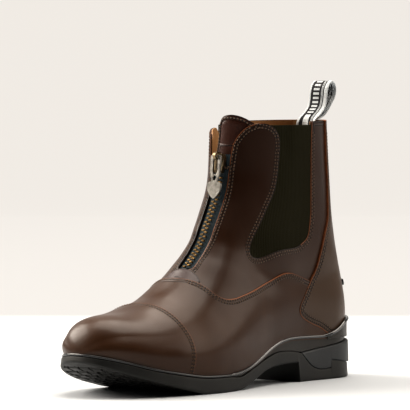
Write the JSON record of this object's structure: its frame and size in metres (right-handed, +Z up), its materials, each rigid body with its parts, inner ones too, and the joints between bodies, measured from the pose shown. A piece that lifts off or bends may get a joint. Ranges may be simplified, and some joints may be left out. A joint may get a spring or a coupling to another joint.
{
  "type": "paddock boot",
  "caption": "Ankle-high leather riding boot for the left foot, with front zip, elastic side gores, toe cap and low rubber heel.",
  "frame": {"origin": "middle of the heel's flat face, on the floor", "axes": "+X to the toe along the sole, +Y to the outer side of the foot, +Z up"},
  "size_m": [0.2814, 0.097, 0.2213],
  "materials": {
    "leather": "dark brown, waxed, soft gloss",
    "elastic": "ribbed elastic, matte",
    "tape": "woven tape, matte",
    "zip_brass": "antique brass",
    "zip_nickel": "antique nickel",
    "lining": "tan, matte",
    "sole_rubber": "smooth, half gloss",
    "midsole_rubber": "smooth, half gloss",
    "webbing": "woven webbing, black and off-white"
  },
  "bodies": {
    "boot": {"upper": "leather", "tongue": "leather", "gore_lateral": "elastic", "gore_medial": "elastic", "zip_tape": "tape", "zip_chain": "zip_brass", "insole": "lining", "outsole": "sole_rubber", "welt": "sole_rubber", "midsole": "midsole_rubber", "heel_block": "midsole_rubber", "spur_rest": "leather", "pull_loop": "webbing", "zip_slider": "zip_brass"},
    "zip_pull": {"zip_pull": "zip_nickel"}
  },
  "joints": [
    {"name": "pull_swing", "type": "hinge", "parent": "boot", "child": "zip_pull", "pos_m": [0.09759, 0.002, 0.16649], "axis": [0, -1, 0], "range_deg": [0, 150]}
  ]
}
